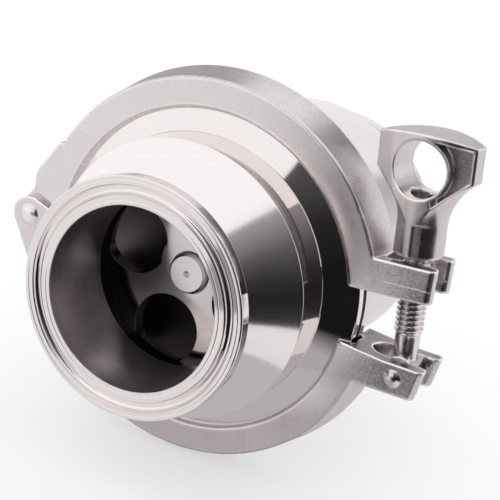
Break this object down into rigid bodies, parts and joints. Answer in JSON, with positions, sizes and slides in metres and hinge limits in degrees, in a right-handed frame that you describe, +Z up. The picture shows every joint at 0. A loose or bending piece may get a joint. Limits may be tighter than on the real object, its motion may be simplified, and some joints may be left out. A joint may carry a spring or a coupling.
{
  "type": "sanitary non-return valve",
  "caption": "Stainless spring-loaded non-return valve with clamp ferrule ends, a two-piece body and a hinged clamp closed by a swing bolt and wing nut.",
  "frame": {"origin": "centre of the outlet ferrule's face", "axes": "+Y runs from the outlet into the valve towards the inlet, +Z is up, the clamp's hinge is on -X and its swing bolt on +X"},
  "size_m": [0.1318, 0.1252, 0.1086],
  "materials": {
    "turned_steel": "turned and brushed stainless steel",
    "cast_steel": "satin investment-cast stainless steel",
    "rivet_steel": "plain turned stainless steel",
    "spring_wire": "drawn stainless spring wire",
    "gasket_rubber": "moulded dark rubber"
  },
  "bodies": {
    "valve_body": {"outlet_body": "turned_steel", "inlet_body": "turned_steel", "body_gasket": "gasket_rubber", "guide_plate": "turned_steel", "closing_spring": "spring_wire", "clamp_lower_half": "cast_steel", "hinge_rivet": "rivet_steel", "bolt_pivot_rivet": "rivet_steel"},
    "plug": {"valve_plug": "turned_steel", "plug_seal_ring": "gasket_rubber", "plug_stem": "turned_steel"},
    "clamp_upper": {"clamp_upper_half": "cast_steel"},
    "bolt": {"swing_bolt": "rivet_steel"},
    "nut": {"wing_nut": "cast_steel"}
  },
  "joints": [
    {"name": "plug_slide", "type": "slide", "parent": "valve_body", "child": "plug", "axis": [0, -1, 0], "range_m": [0, 0.0119], "stiffness_N_per_m": 2700, "springref_m": -0.0037, "deforming": ["closing_spring"]},
    {"name": "bolt_swing", "type": "hinge", "parent": "valve_body", "child": "bolt", "pos_m": [0.06045, 0.0422, -0.0122], "axis": [0, 1, 0], "range_deg": [0, 120]},
    {"name": "wing_nut_travel", "type": "slide", "parent": "bolt", "child": "nut", "axis": [-0.0663, 0, 0.9978], "range_m": [0, 0.0113]},
    {"name": "clamp_upper_open", "type": "hinge", "parent": "valve_body", "child": "clamp_upper", "pos_m": [-0.0557, 0.0402, 0.0006], "axis": [0, -1, 0], "range_deg": [0, 5]}
  ],
  "couplings": [
    {"joint": "clamp_upper_open", "follows": "wing_nut_travel", "rad_per_m": 7.7}
  ]
}
